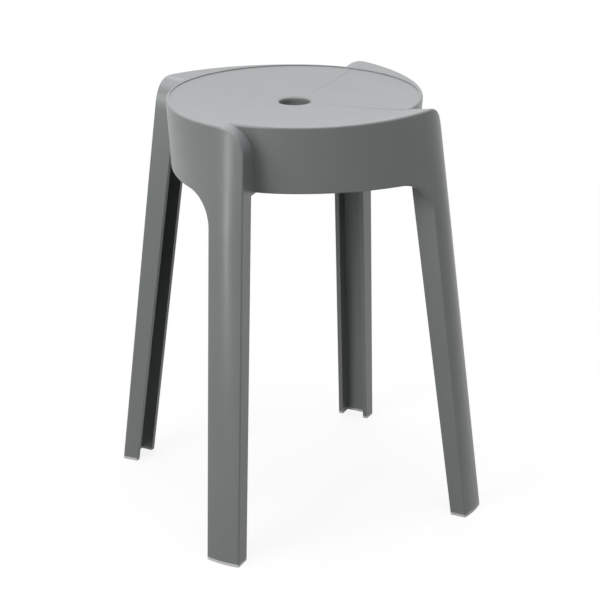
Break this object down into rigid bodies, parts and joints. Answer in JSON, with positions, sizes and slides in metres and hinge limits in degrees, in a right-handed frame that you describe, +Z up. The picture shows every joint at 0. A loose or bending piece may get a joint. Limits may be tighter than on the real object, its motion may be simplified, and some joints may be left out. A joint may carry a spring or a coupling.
{
  "type": "plastic stool",
  "caption": "Moulded plastic stool with a round dished seat, a finger hole, and apron panels that spiral out into splayed channel legs on pressed-in floor glides.",
  "frame": {"origin": "on the floor under the centre of the seat: the middle of the bounding box's underside", "axes": "+Z up along the seat's axis; +X and +Y look out through the gaps between the legs, whose outer walls face the diagonals"},
  "size_m": [0.348, 0.348, 0.4522],
  "materials": {
    "grey_polypropylene": "satin moulded polypropylene, mid grey",
    "glide_polyethylene": "natural off-white polyethylene"
  },
  "bodies": {
    "root": {"stool_body": "grey_polypropylene", "foot_glide_front_left": "glide_polyethylene", "foot_glide_front_right": "glide_polyethylene", "foot_glide_back_right": "glide_polyethylene", "foot_glide_back_left": "glide_polyethylene"}
  },
  "joints": []
}
